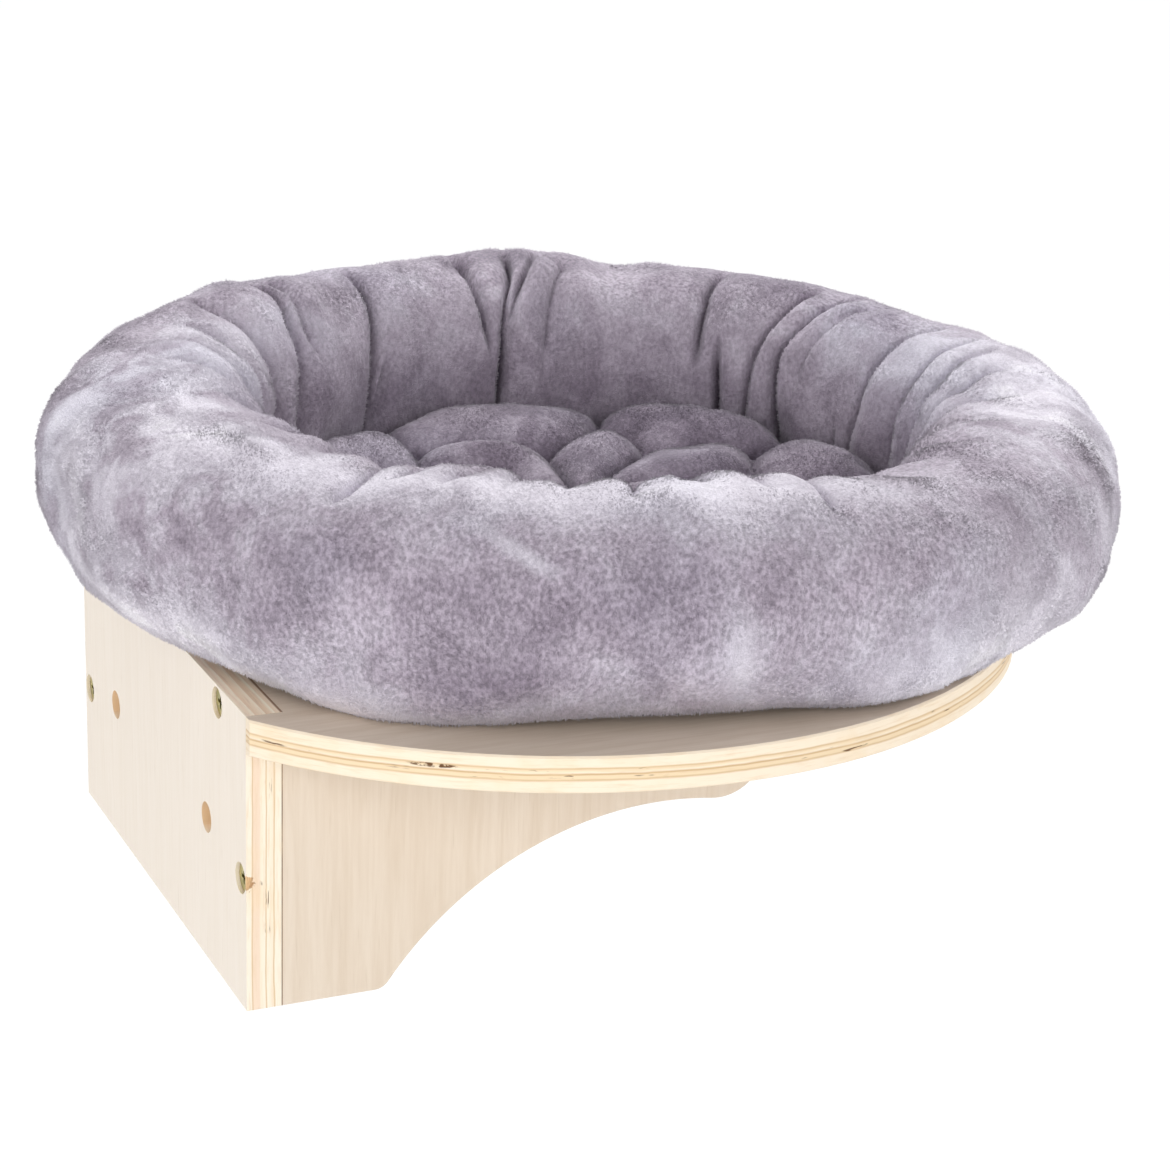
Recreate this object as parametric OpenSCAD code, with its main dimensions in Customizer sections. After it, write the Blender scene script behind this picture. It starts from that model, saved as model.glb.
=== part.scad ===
// Wall shelf for a cat: a round plywood shelf, screwed to a wall board and two arched brackets,
// with a loose plush ring bed lying on it.
// +X runs along the wall, +Y points into the wall and +Z is up.
// The origin lies on the wall face of the board, midway between its two wall holes.

/* [Plywood] */
// Thickness of the plywood that every board is cut from
ply = 15; // [12:1:18]
// Length of the wall board
board_length = 242; // [220:1:280]
// Height of the wall board
board_height = 126; // [116:1:150]
// Radius of the shelf's round edge
shelf_radius = 214; // [200:1:240]
// Width of each shelf ear where it meets the wall
ear = 5; // [4:1:12]
// Gap between the wall board's ends and the shelf's ears
notch_gap = 0.3; // [0.1:0.1:1]
// Bevel along the shelf's round edge
edge_bevel = 0.8; // [0.4:0.2:2]

/* [Brackets] */
// Reach of the brackets from the wall
bracket_reach = 230; // [220:1:250]
// Length of the bracket's flat foot, up to where the arc would cut it
foot_length = 43; // [35:1:55]
// Radius of the bracket's hollow arc
arc_radius = 150; // [140:1:170]
// Height of the arc's top above the foot
arc_height = 65; // [50:1:72]
// Rounding of the foot's front corner
toe_radius = 7; // [3:0.5:12]
// Rounding of the bracket's lower front corner
nose_radius = 22; // [10:1:26]

/* [Wall holes] */
// Diameter of the two holes that take the wall fixings
wall_hole_d = 13; // [8:0.5:14]
// Distance between the two wall holes
wall_hole_spacing = 137; // [110:1:140]

/* [Screws and dowels] */
// Diameter of a screw's head
head_d = 12; // [10:0.5:12.5]
// Diameter of a screw's shank
shank_d = 6; // [4:0.5:7]
// Length of a screw
screw_length = 50; // [40:1:60]
// Depth of a screw head below the wall face
head_sink = 1.5; // [0.5:0.1:3]
// Distance of the shelf screws from the wall board's ends
shelf_screw_inset = 37; // [26:1:45]
// Height of the bracket screws above the foot
bracket_screw_height = 55; // [48:1:62]
// Diameter of the wooden dowels
dowel_d = 8; // [6:0.5:8]
// Length of the wooden dowels
dowel_length = 30; // [25:1:35]
// Height of the bracket dowels above the foot
bracket_dowel_height = 25; // [18:1:32]
// Distance of the rear shelf dowels from the wall board
rear_dowel_setback = 40; // [25:1:60]
// Distance of the front shelf dowels from the brackets' front
front_dowel_setback = 40; // [28:1:60]

/* [Bed] */
// Outer width of the bed along the wall
bed_width = 435; // [410:1:460]
// Outer depth of the bed away from the wall
bed_depth = 482; // [450:1:510]
// Distance of the bed's middle from the wall
bed_setback = 199; // [190:1:250]
// Width of the stuffed rim
rim_width = 96; // [84:1:104]
// Mean height of the rim above the shelf
rim_height = 98; // [84:1:112]
// How far the rim slumps below that height at one end and stands above it at the other
rim_lean = 10; // [0:1:14]
// Height of the rim's widest line above the shelf
rim_waist = 54; // [46:1:60]
// Number of gathered folds round the inside of the rim
folds = 14; // [10:1:14]
// Depth of a gathered fold
fold_depth = 10; // [4:1:12]
// Thickness of the plush cover
cover = 4; // [3:0.5:5]
// Height of the floor cushion's puffs above the base cloth
floor_height = 49; // [38:1:54]
// How far the floor cushion reaches under the rim
floor_tuck = 12; // [4:1:13]
// Number of sewn tufts in a ring on the floor cushion
tufts = 8; // [5:1:9]
// Depth of the sewn tufts
tuft_depth = 20; // [8:1:26]
// Thickness of the base cloth
base_cloth_thickness = 2; // [1:0.5:3]

/* [Hidden] */
$fn = 96;
// How far cuts run past the faces that they open
overrun = 1;
// Gaps that the fits leave: round a screw's head, its shank, a dowel, a dowel's end and between soft pieces
head_gap = 0.5;
shank_gap = 0.1;
dowel_gap = 0.1;
dowel_end_gap = 0.5;
soft_gap = 0.5;
// The loose bed lies this far clear of the shelf
rest_gap = 0.3;

// Heights of the board's foot, the shelf's top and its underside
foot_z = -board_height / 2;
shelf_top = board_height / 2;
shelf_under = shelf_top - ply;
bracket_height = shelf_under - foot_z;
// The shelf's arc runs through the ends of its two ears
shelf_centre = sqrt(pow(shelf_radius, 2) - pow(board_length / 2 + ear, 2));

// Centres of the bracket's arc, and of the toe and nose roundings that touch it
arc_centre = [-ply - foot_length - sqrt(arc_height * (2 * arc_radius - arc_height)),
              foot_z + arc_height - arc_radius];
toe_rise = toe_radius + arc_radius - arc_height;
toe_centre = arc_centre + [sqrt(pow(arc_radius + toe_radius, 2) - pow(toe_rise, 2)), toe_rise];
nose_back = nose_radius - bracket_reach - arc_centre[0];
nose_centre = arc_centre + [nose_back, sqrt(pow(arc_radius + nose_radius, 2) - pow(nose_back, 2))];

// A screw's head has a short straight rim over a cone, and its tip and drive are in step with its shank
head_rim = head_d / 12;
head_cone = (head_d - shank_d) / 2;
screw_tip = shank_d;
drive_length = head_d / 2;
drive_width = head_d / 8;
drive_depth = head_d / 4;
bracket_middle = board_length / 2 - ply / 2;
shelf_screw_x = board_length / 2 - shelf_screw_inset;
// Share of a dowel's hole that is in the thinner board, and the dowel's end bevel
dowel_depth_share = 0.6;
dowel_sunk = dowel_depth_share * ply;
dowel_bevel = dowel_d / 8;

// Heights of the bed's pieces above the shelf's top
base_top = rest_gap + base_cloth_thickness;
rim_base = base_top + rest_gap;
// The rim's tube runs round an oval
tube = rim_width / 2;
ring_mean = (bed_width + bed_depth) / 4 - tube;
ring_stretch = (bed_depth - bed_width) / 4;
// Roundness of the tube, how much of its underside is pressed flat, and how far the base cloth goes under it
round_share = 0.85;
flat_share = 1.06;
base_reach_share = 0.2;
// A fold is a sharp valley between two round crests; these are its depths from one valley to the next
fold_shares = [1, 0.25, 0, 0.25];
stations = folds * len(fold_shares);
// The cover wraps the tube between these two angles, and the folds lie between the next two
wrap_from = 250;
wrap_to = -85;
fold_from = 235;
fold_to = 60;
// Points along the cover's outside and inside at each station
outside_points = 13;
inside_points = 9;
// Places of the tuft ring, of the forks of the outer creases and of the floor's rings of points, as shares of
// the floor's radius
tuft_ring_share = 0.5;
fork_ring_share = 0.74;
floor_ring_shares = [0.16, 0.34, 0.5, 0.58, 0.66, 0.74, 0.84, 0.93, 1];
floor_steps = 8;
// The floor is turned by this share of a puff, which sets a puff against the rim's tall end
puff_turn_share = 0.625;
// How broad a tuft and a crease are beside the floor's mean radius, and how deep a crease is beside a tuft
tuft_spread_share = 0.16;
crease_spread_share = 0.09;
crease_share = 0.6;
// How sharply the puffs meet and the floor's edge rolls over
crease_sharpness = 8;
edge_sharpness = 6;

// Copies a child to the left and right ends, at x from the middle
module both_ends(x) {
  for (side = [-1, 1]) translate([side * x, 0, 0]) children();
}

// Half outline of a screw from its axis: the screw itself, or with gaps the hole that it goes in
module screw_outline(head_room, shank_room, open_end) {
  head_r = head_d / 2 + head_room;
  shank_r = shank_d / 2 + shank_room;
  polygon([[0, open_end], [head_r, open_end], [head_r, -head_rim], [shank_r, -head_rim - head_cone],
           [shank_r, screw_tip - screw_length], [0, -screw_length - shank_room]]);
}

// Countersunk screw, head towards the wall
module screw() {
  translate([0, -head_sink, 0]) rotate([-90, 0, 0]) difference() {
    rotate_extrude() screw_outline(0, 0, 0);
    for (turn = [0, 90]) rotate([0, 0, turn])
      translate([-drive_length / 2, -drive_width / 2, -drive_depth])
        cube([drive_length, drive_width, drive_depth + overrun]);
  }
}

// Hole for a screw, open to the wall
module screw_hole() {
  translate([0, -head_sink, 0]) rotate([-90, 0, 0])
    rotate_extrude() screw_outline(head_gap, shank_gap, head_sink + overrun);
}

// Dowel on +Z, sunk below z = 0 by the depth of the thinner board's hole
module dowel() {
  r = dowel_d / 2;
  translate([0, 0, -dowel_sunk]) rotate_extrude()
    polygon([[0, 0], [r - dowel_bevel, 0], [r, dowel_bevel], [r, dowel_length - dowel_bevel],
             [r - dowel_bevel, dowel_length], [0, dowel_length]]);
}

// Hole for a dowel, with room past both its ends
module dowel_hole() {
  translate([0, 0, -dowel_sunk - dowel_end_gap])
    cylinder(d = dowel_d + 2 * dowel_gap, h = dowel_length + 2 * dowel_end_gap);
}

// Places of the screws and dowels
module at_shelf_screws() {
  both_ends(shelf_screw_x) translate([0, 0, shelf_top - ply / 2]) children();
}
module at_bracket_screws() {
  both_ends(bracket_middle) translate([0, 0, foot_z + bracket_screw_height]) children();
}
module at_bracket_dowels() {
  both_ends(bracket_middle) translate([0, -ply, foot_z + bracket_dowel_height]) rotate([90, 0, 0]) children();
}
module at_shelf_dowels() {
  for (setback = [ply + rear_dowel_setback, bracket_reach - front_dowel_setback])
    both_ends(bracket_middle) translate([0, -setback, shelf_under]) rotate([180, 0, 0]) children();
}

// Board that is screwed flat to the wall
module wall_board() {
  color("burlywood") difference() {
    translate([-board_length / 2, -ply, foot_z]) cube([board_length, ply, board_height]);
    both_ends(wall_hole_spacing / 2) translate([0, overrun, 0]) rotate([90, 0, 0])
      cylinder(d = wall_hole_d, h = ply + 2 * overrun);
    at_shelf_screws() screw_hole();
    at_bracket_screws() screw_hole();
    at_bracket_dowels() dowel_hole();
  }
}

// Round shelf, cut off along the wall and notched round the wall board
module shelf_board() {
  notch_length = board_length + 2 * notch_gap;
  color("wheat") difference() {
    translate([0, -shelf_centre, shelf_under]) rotate_extrude()
      polygon([[0, 0], [shelf_radius - edge_bevel, 0], [shelf_radius, edge_bevel],
               [shelf_radius, ply - edge_bevel], [shelf_radius - edge_bevel, ply], [0, ply]]);
    translate([-shelf_radius, 0, shelf_under - overrun]) cube([2 * shelf_radius, shelf_radius, ply + 2 * overrun]);
    translate([-notch_length / 2, -ply, shelf_under - overrun])
      cube([notch_length, ply + overrun, ply + 2 * overrun]);
    at_shelf_screws() screw_hole();
    at_shelf_dowels() dowel_hole();
  }
}

// What a rounding takes off a corner: the corner's polygon, less the rounding's circle
module corner_waste(corner, centre, r) {
  difference() {
    polygon(concat(corner, [centre]));
    translate(centre) circle(r = r);
  }
}

// Side view of a bracket, with its arc and its rounded toe and nose
module bracket_outline() {
  toe_touch = toe_centre + (arc_centre - toe_centre) * toe_radius / (arc_radius + toe_radius);
  nose_touch = nose_centre + (arc_centre - nose_centre) * nose_radius / (arc_radius + nose_radius);
  front = -bracket_reach - overrun;
  difference() {
    translate([-bracket_reach, foot_z]) square([bracket_reach - ply, bracket_height]);
    translate(arc_centre) circle(r = arc_radius);
    corner_waste([[toe_centre[0], foot_z - overrun], [toe_touch[0], foot_z - overrun], toe_touch],
                 toe_centre, toe_radius);
    corner_waste([nose_touch, [nose_touch[0], foot_z], [front, foot_z], [front, nose_centre[1]]],
                 nose_centre, nose_radius);
  }
}

// Bracket with its middle plane at x = 0, drilled for its screw and dowels
module bracket(side) {
  color("navajowhite") difference() {
    translate([side * bracket_middle - ply / 2, 0, 0]) rotate([90, 0, 90])
      linear_extrude(height = ply) bracket_outline();
    at_bracket_screws() screw_hole();
    at_bracket_dowels() dowel_hole();
    at_shelf_dowels() dowel_hole();
  }
}

module left_bracket() {
  bracket(-1);
}

module right_bracket() {
  bracket(1);
}

module shelf_screws() {
  color("goldenrod") at_shelf_screws() screw();
}

module bracket_screws() {
  color("goldenrod") at_bracket_screws() screw();
}

module shelf_dowels() {
  color("tan") at_shelf_dowels() dowel();
}

module bracket_dowels() {
  color("tan") at_bracket_dowels() dowel();
}

// Distance of the rim tube's middle from the bed's middle, and the rim's height, at angle t
function ring_radius(t) = ring_mean - ring_stretch * cos(2 * t);
function crest(t) = rim_height + rim_lean * cos(t);

// A value's power with its sign kept
function signed_power(v, e) = sign(v) * pow(abs(v), e);

// Point on the rim's tube at angle t round the bed and f round the tube, inset below its skin
function rim_point(t, f, inset) =
  let (rise = signed_power(sin(f), round_share),
       height = rise > 0 ? (crest(t) - rim_waist - inset) * rise
                         : (rim_waist - rim_base - inset) * max(-1, flat_share * rise),
       r = ring_radius(t) + (tube - inset) * signed_power(cos(f), round_share))
  [r * cos(t), r * sin(t), rim_waist + height];

// How deep the folds are at angle f round the tube, and the angle of point k of n along the wrap
function fold_reach(f) = fold_depth * sin(180 * max(0, min(1, (f - fold_to) / (fold_from - fold_to))));
function wrap_angle(k, n) = wrap_from + (wrap_to - wrap_from) * k / (n - 1);

// Angle of station i of n, and the share of a fold's depth there
function station_angle(i, n) = 360 * i / n;
function fold_share(i) = fold_shares[i % len(fold_shares)];

// One section of the rim cover: its folded outside, then its smooth inside in return
function cover_section(i) =
  let (t = station_angle(i, stations))
  concat([for (k = [0:outside_points - 1])
            let (f = wrap_angle(k, outside_points)) rim_point(t, f, fold_share(i) * fold_reach(f))],
         [for (k = [inside_points - 1:-1:0])
            let (f = wrap_angle(k, inside_points)) rim_point(t, f, cover + fold_reach(f))]);

// One section of the rim filling, just inside the cover
function filling_section(i) =
  let (t = station_angle(i, stations))
  [for (k = [0:inside_points - 1])
     let (f = wrap_angle(k, inside_points)) rim_point(t, f, cover + soft_gap + fold_reach(f))];

// Triangles between closed sections of n points each, joined into a ring of m sections
function ring_faces(m, n) =
  [for (i = [0:m - 1], j = [0:n - 1])
     let (a = i * n, b = (i + 1) % m * n, k = (j + 1) % n)
     each [[a + j, a + k, b + k], [a + j, b + k, b + j]]];

// Lifts the bed's pieces onto the shelf
module on_shelf() {
  translate([0, -bed_setback, shelf_top]) children();
}

// Cloth that closes the bed underneath
module base_cloth() {
  color("gray") on_shelf() translate([0, 0, rest_gap]) linear_extrude(height = base_cloth_thickness)
    polygon([for (i = [0:stations - 1])
               let (t = station_angle(i, stations), r = ring_radius(t) + base_reach_share * tube)
               [r * cos(t), r * sin(t)]]);
}

// Plush skin of the rim, gathered inside, open underneath where the base cloth closes it
module rim_cover() {
  color("thistle") on_shelf()
    polyhedron([for (i = [0:stations - 1]) each cover_section(i)],
               ring_faces(stations, outside_points + inside_points));
}

// Fibre filling of the rim
module rim_filling() {
  color("whitesmoke") on_shelf()
    polyhedron([for (i = [0:stations - 1]) each filling_section(i)], ring_faces(stations, inside_points));
}

// The floor cushion's mean radius, and its radius at angle t
floor_mean = ring_mean - tube + floor_tuck;
function floor_radius(t) = ring_radius(t) - tube + floor_tuck;

// How far angle t is from an outer crease: 0 on it, and 1 midway between two, where a tuft is
function puff_swing(t) =
  let (turn = t * tufts / 360 - puff_turn_share)
  2 * abs(turn - round(turn));

// How far the floor is drawn down at angle t and share q of its radius: by a tuft in the middle and a ring of
// them, by the crease that zigzags between the tufts and the forks, and by the creases from the forks to the edge
function tuft_pull(t, q) =
  let (spread = tuft_spread_share * floor_mean,
       at = q * floor_radius(t) * [cos(t), sin(t)],
       pulls = [for (k = [0:tufts - 1])
                  let (u = station_angle(k + puff_turn_share + 1 / 2, tufts), r = tuft_ring_share * floor_radius(u))
                  exp(-pow(norm(at - r * [cos(u), sin(u)]) / spread, 2))],
       middle = exp(-pow(norm(at) / spread, 2)),
       swing = puff_swing(t),
       zigzag = fork_ring_share + (tuft_ring_share - fork_ring_share) * swing,
       zigzag_crease = exp(-pow((q - zigzag) / crease_spread_share, 2)),
       out_crease = q < zigzag ? 0 : pow(cos(90 * swing), crease_sharpness))
  tuft_depth * max(concat(pulls, [middle, crease_share * max(zigzag_crease, out_crease)]));

// Point of the floor cushion's top at angle t and share q of its radius, inset below its skin
function floor_point(t, q, inset) =
  let (crown = sqrt(1 - pow(q, edge_sharpness)),
       r = q * (floor_radius(t) - inset))
  [r * cos(t), r * sin(t), rim_base + max(0, crown * (floor_height - tuft_pull(t, q)) - inset)];

// Points of the floor's top: its middle, then ring by ring
floor_stations = tufts * floor_steps;
floor_rings = len(floor_ring_shares);
function floor_points(inset) =
  concat([floor_point(0, 0, inset)],
         [for (q = floor_ring_shares, i = [0:floor_stations - 1])
            floor_point(station_angle(i, floor_stations), q, inset)]);

// Whether the zigzag runs outwards from station i to the next
function runs_out(i) = (1 + i / floor_steps - puff_turn_share) % 1 >= 1 / 2;

// Triangles of such a sheet of points that starts at point first, facing up, or down if turned, with their
// diagonals along the zigzag
function sheet_faces(first, turned) =
  let (n = floor_stations,
       fan = [for (i = [0:n - 1]) [first, first + 1 + (i + 1) % n, first + 1 + i]],
       rings = [for (k = [0:floor_rings - 2], i = [0:n - 1])
                  let (a = first + 1 + k * n, b = a + n, j = (i + 1) % n)
                  each runs_out(i) ? [[a + i, a + j, b + j], [a + i, b + j, b + i]]
                                   : [[a + i, a + j, b + i], [a + j, b + j, b + i]]],
       all = concat(fan, rings))
  turned ? [for (face = all) [face[2], face[1], face[0]]] : all;

// Triangles that join the edges of two such sheets
function edge_faces(upper, lower) =
  let (n = floor_stations, a = upper + 1 + (floor_rings - 1) * n, b = lower + 1 + (floor_rings - 1) * n)
  [for (i = [0:n - 1])
     let (j = (i + 1) % n)
     each [[a + i, a + j, b + j], [a + i, b + j, b + i]]];

// Plush top of the floor cushion, drawn down by the tufts, open underneath
module floor_cover() {
  lower = 1 + floor_rings * floor_stations;
  color("plum") on_shelf()
    polyhedron(concat(floor_points(0), floor_points(cover)),
               concat(sheet_faces(0, false), sheet_faces(lower, true), edge_faces(0, lower)));
}

// Fibre filling of the floor cushion
module floor_filling() {
  inset = cover + soft_gap;
  n = floor_stations;
  edge = 1 + (floor_rings - 1) * n;
  middle = edge + n;
  color("whitesmoke") on_shelf()
    polyhedron(concat(floor_points(inset), [[0, 0, rim_base]]),
               concat(sheet_faces(0, false),
                      [for (i = [0:n - 1]) [middle, edge + i, edge + (i + 1) % n]]));
}

wall_board();
shelf_board();
left_bracket();
right_bracket();
shelf_screws();
bracket_screws();
shelf_dowels();
bracket_dowels();
base_cloth();
rim_filling();
rim_cover();
floor_filling();
floor_cover();
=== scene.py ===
import math
from collections import namedtuple

import bpy
import numpy as np
from mathutils import Matrix, Vector


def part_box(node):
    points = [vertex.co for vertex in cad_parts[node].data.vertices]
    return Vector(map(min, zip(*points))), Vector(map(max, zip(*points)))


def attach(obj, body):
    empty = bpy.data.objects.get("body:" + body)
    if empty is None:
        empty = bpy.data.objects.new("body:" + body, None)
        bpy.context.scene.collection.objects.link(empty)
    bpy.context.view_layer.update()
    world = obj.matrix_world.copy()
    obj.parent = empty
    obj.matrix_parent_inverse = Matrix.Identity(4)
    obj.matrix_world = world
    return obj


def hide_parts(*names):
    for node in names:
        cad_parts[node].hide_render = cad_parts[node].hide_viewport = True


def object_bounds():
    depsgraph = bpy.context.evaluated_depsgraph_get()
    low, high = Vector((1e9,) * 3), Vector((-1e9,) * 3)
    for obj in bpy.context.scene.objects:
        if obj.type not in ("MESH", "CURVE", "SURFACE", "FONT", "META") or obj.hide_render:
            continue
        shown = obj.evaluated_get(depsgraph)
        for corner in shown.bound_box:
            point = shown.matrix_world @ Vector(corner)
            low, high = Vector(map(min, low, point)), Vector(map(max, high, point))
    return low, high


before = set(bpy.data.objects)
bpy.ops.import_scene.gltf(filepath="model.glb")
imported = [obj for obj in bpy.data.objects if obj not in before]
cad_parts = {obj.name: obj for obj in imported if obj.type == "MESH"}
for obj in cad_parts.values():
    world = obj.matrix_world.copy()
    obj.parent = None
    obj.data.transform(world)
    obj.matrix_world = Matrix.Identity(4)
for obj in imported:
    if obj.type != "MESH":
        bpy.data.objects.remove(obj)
CAD_BOX = [list(corner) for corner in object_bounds()]

# The stage and the wood are in metres; the bed's forms and its pile are in millimetres from the bed's middle
MM = 0.001


def link_object(name, data):
    thing = bpy.data.objects.new(name, data)
    bpy.context.scene.collection.objects.link(thing)
    return thing


# Camera: the one that the boards' edges, holes and arc fit, in the part's frame

IMAGE_SIDE = 1170
FOCAL_PIXELS = 2811.9
SENSOR_MM = 36.0
CAMERA_PLACE = Vector((-1.0922, 0.3114, 0.4545))
CAMERA_FORWARD = Vector((0.86052, -0.40197, -0.31292))
CAMERA_UP = Vector((0.29837, -0.10018, 0.94918))


def add_camera():
    data = bpy.data.cameras.new("camera")
    data.sensor_width = SENSOR_MM
    data.lens = SENSOR_MM * FOCAL_PIXELS / IMAGE_SIDE
    camera = link_object("camera", data)
    back = -CAMERA_FORWARD.normalized()
    right = CAMERA_UP.cross(back).normalized()
    turn = Matrix((right, back.cross(right), back)).transposed().to_4x4()
    camera.matrix_world = Matrix.Translation(CAMERA_PLACE) @ turn
    bpy.context.scene.camera = camera


# Materials

WHITE = (1, 1, 1, 1)


class Nodes:
    """A node tree with short calls to add nodes and link them."""

    def __init__(self, tree):
        self.tree = tree
        tree.nodes.clear()

    def add(self, kind, inputs=None, **settings):
        node = self.tree.nodes.new(kind)
        for name, value in settings.items():
            setattr(node, name, value)
        self.fill(node, inputs or {})
        return node

    def fill(self, node, inputs):
        for name, value in inputs.items():
            self.set(node.inputs[name], value)

    def set(self, socket, value):
        if isinstance(value, bpy.types.NodeSocket):
            self.tree.links.new(value, socket)
        else:
            socket.default_value = value

    def place(self):
        return self.add("ShaderNodeTexCoord").outputs["Object"]

    def attribute(self, name):
        return self.add("ShaderNodeAttribute", attribute_name=name).outputs["Fac"]

    def seen(self):
        """1 where a surface is seen, also in a mirror or through glass, and 0 where it only sends light."""
        path = self.add("ShaderNodeLightPath")
        seen = self.math("MAXIMUM", path.outputs["Is Camera Ray"], path.outputs["Is Glossy Ray"])
        return self.math("MAXIMUM", seen, path.outputs["Is Transmission Ray"])

    def math(self, operation, a, b=0.0):
        return self.add("ShaderNodeMath", {0: a, 1: b}, operation=operation).outputs[0]

    def product(self, a, b):
        return self.math("MULTIPLY", a, b)

    def weighted(self, *parts):
        """Sum of values, each times its weight."""
        products = [self.product(value, weight) for value, weight in parts]
        total = products[0]
        for product in products[1:]:
            total = self.math("ADD", total, product)
        return total

    def vector(self, operation, a, b):
        return self.add("ShaderNodeVectorMath", {0: a, 1: b}, operation=operation).outputs[0]

    def times(self, vector, factor):
        return self.add("ShaderNodeVectorMath", {0: vector, "Scale": factor}, operation="SCALE").outputs[0]

    def distance(self, a, b, stretch=(1, 1, 1)):
        """Distance from a to b, with each axis stretched."""
        off = self.vector("MULTIPLY", self.vector("SUBTRACT", a, b), stretch)
        return self.add("ShaderNodeVectorMath", {0: off}, operation="LENGTH").outputs["Value"]

    def mix(self, factor, a, b):
        node = self.add("ShaderNodeMix", data_type="RGBA")
        for socket, value in zip((node.inputs[0], node.inputs[6], node.inputs[7]), (factor, a, b)):
            self.set(socket, value)
        return node.outputs[2]

    def span(self, value, low, high, to_low=0.0, to_high=1.0):
        inputs = {"Value": value, "From Min": low, "From Max": high, "To Min": to_low, "To Max": to_high}
        return self.add("ShaderNodeMapRange", inputs, clamp=True).outputs[0]

    def noise(self, where, scale, detail=2.0, rough=0.5, distortion=0.0):
        """Noise of one scale, or of a scale for each axis."""
        if not isinstance(scale, float):
            where = self.add("ShaderNodeMapping", {"Vector": where, "Scale": scale}).outputs[0]
            scale = 1.0
        inputs = {"Vector": where, "Scale": scale, "Detail": detail, "Roughness": rough,
                  "Distortion": distortion}
        return self.add("ShaderNodeTexNoise", inputs).outputs["Fac"]

    def ramp(self, value, stops):
        node = self.add("ShaderNodeValToRGB", {"Fac": value})
        ramp = node.color_ramp
        while len(ramp.elements) < len(stops):
            ramp.elements.new(0.5)
        for element, (place, colour) in zip(ramp.elements, stops):
            element.position = place
            element.color = (*colour, 1)
        return node.outputs["Color"]

    def bump(self, height, strength, distance):
        inputs = {"Height": height, "Strength": strength, "Distance": distance}
        return self.add("ShaderNodeBump", inputs).outputs[0]


def new_material(name):
    """A material with a Principled shader, and the calls that add to its nodes."""
    material = bpy.data.materials.new(name)
    material.use_nodes = True
    nodes = Nodes(material.node_tree)
    shader = nodes.add("ShaderNodeBsdfPrincipled")
    nodes.add("ShaderNodeOutputMaterial", {"Surface": shader.outputs[0]})
    return material, nodes, shader


def rgb(r, g, b):
    """A colour as written on screen, as the linear colour that shaders take."""
    return tuple(((c / 255 + 0.055) / 1.055) ** 2.4 if c > 10 else c / 255 / 12.92 for c in (r, g, b))


def rgba(r, g, b):
    return (*rgb(r, g, b), 1)


# Stage and light

FLOOR_DROP = 0.30
FLOOR_SIDE = 14.0
FLOOR_GREY, FLOOR_ROUGHNESS = (0.9, 0.9, 0.9, 1), 0.9
# Brightness of the floor where it is seen, and the share of its shading that this replaces
FLOOR_WHITE, FLOOR_WHITE_SHARE = 1.06, 0.9
# Light of the surroundings, level and overhead, and the heights between which it changes
WORLD_LIGHT, WORLD_LIGHT_ABOVE = 0.69, 0.5
WORLD_LOW, WORLD_HIGH = 0.1, 0.9
# Softboxes: place, the point that they face, side and power in watts
SOFTBOXES = {
    "back": ((1.15, -0.45, 1.55), (0.0, -0.2, 0.1), 1.6, 28.0),
    "left": ((-0.95, 1.45, 0.55), (0.0, -0.1, 0.0), 1.2, 10.0),
    "front": ((-1.9, -0.1, 0.5), (0.0, -0.2, 0.05), 1.2, 10.5),
    "right": ((0.2, -2.2, 0.8), (0.0, -0.2, 0.1), 1.4, 13.0),
}


def floor_material():
    """A pale floor that is nearly white where it is seen, and still keeps the part's shadow."""
    material, nodes, shader = new_material("stage_floor")
    surface = shader.outputs[0].links[0].to_socket
    nodes.fill(shader, {"Base Color": FLOOR_GREY, "Roughness": FLOOR_ROUGHNESS})
    white = nodes.add("ShaderNodeEmission", {"Color": WHITE, "Strength": FLOOR_WHITE})
    share = nodes.product(nodes.seen(), FLOOR_WHITE_SHARE)
    mixed = nodes.add("ShaderNodeMixShader", {0: share, 1: shader.outputs[0], 2: white.outputs[0]})
    nodes.set(surface, mixed.outputs[0])
    return material


def add_floor():
    low = CAD_BOX[0][2] - FLOOR_DROP
    half = FLOOR_SIDE / 2
    mesh = bpy.data.meshes.new("stage_floor")
    corners = [(-half, -half, low), (half, -half, low), (half, half, low), (-half, half, low)]
    mesh.from_pydata(corners, [], [(0, 1, 2, 3)])
    mesh.materials.append(floor_material())
    floor = link_object("stage_floor", mesh)


def add_world():
    """White surroundings where they are seen, and a softer light from them."""
    world = bpy.data.worlds.new("world")
    bpy.context.scene.world = world
    world.use_nodes = True
    nodes = Nodes(world.node_tree)
    way = nodes.add("ShaderNodeTexCoord").outputs["Generated"]
    height = nodes.add("ShaderNodeSeparateXYZ", {0: way}).outputs["Z"]
    light = nodes.span(height, WORLD_LOW, WORLD_HIGH, WORLD_LIGHT, WORLD_LIGHT_ABOVE)
    missing = nodes.math("SUBTRACT", 1.0, light)
    strength = nodes.math("ADD", nodes.product(nodes.seen(), missing), light)
    background = nodes.add("ShaderNodeBackground", {"Color": WHITE, "Strength": strength})
    nodes.add("ShaderNodeOutputWorld", {"Surface": background.outputs[0]})


def add_softboxes():
    for name, (place, target, side, power) in SOFTBOXES.items():
        data = bpy.data.lights.new("softbox_" + name, "AREA")
        data.size = side
        data.energy = power
        lamp = link_object("softbox_" + name, data)
        lamp.location = place
        lamp.rotation_mode = "QUATERNION"
        lamp.rotation_quaternion = (Vector(target) - Vector(place)).to_track_quat("-Z", "Y")


# Wood and screws

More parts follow.
